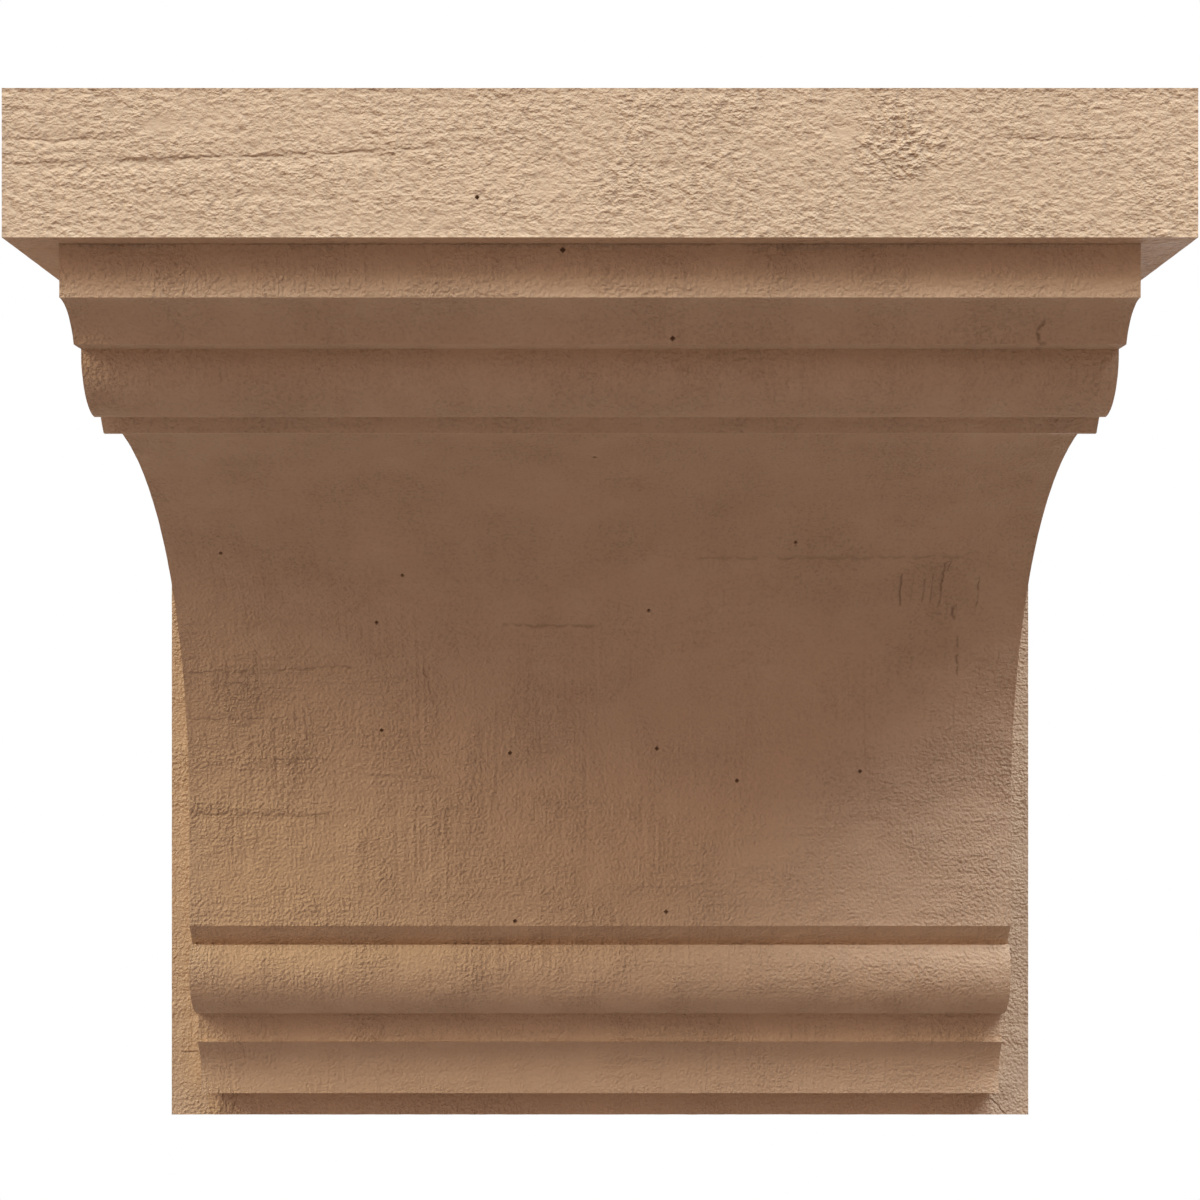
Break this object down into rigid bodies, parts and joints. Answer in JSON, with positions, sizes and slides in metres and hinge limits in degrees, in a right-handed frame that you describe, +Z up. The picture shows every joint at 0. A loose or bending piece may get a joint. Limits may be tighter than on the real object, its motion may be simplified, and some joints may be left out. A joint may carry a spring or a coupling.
{
  "type": "corbel",
  "caption": "Wall corbel with a square slab on top, full-width mouldings and a deep cove down to a wall plate, cast to look like rough-sawn timber.",
  "frame": {"origin": "middle of the flat wall face at the back of the corbel", "axes": "+Y points out of the wall face into the wall, so the corbel projects along -Y towards the viewer; +Z is up; +X is to the right seen from the front"},
  "size_m": [0.3048, 0.254, 0.3048],
  "materials": {
    "rough_sawn_finish": "matt tan prime coat over a cast rough-sawn timber texture"
  },
  "bodies": {
    "root": {"corbel": "rough_sawn_finish"}
  },
  "joints": []
}
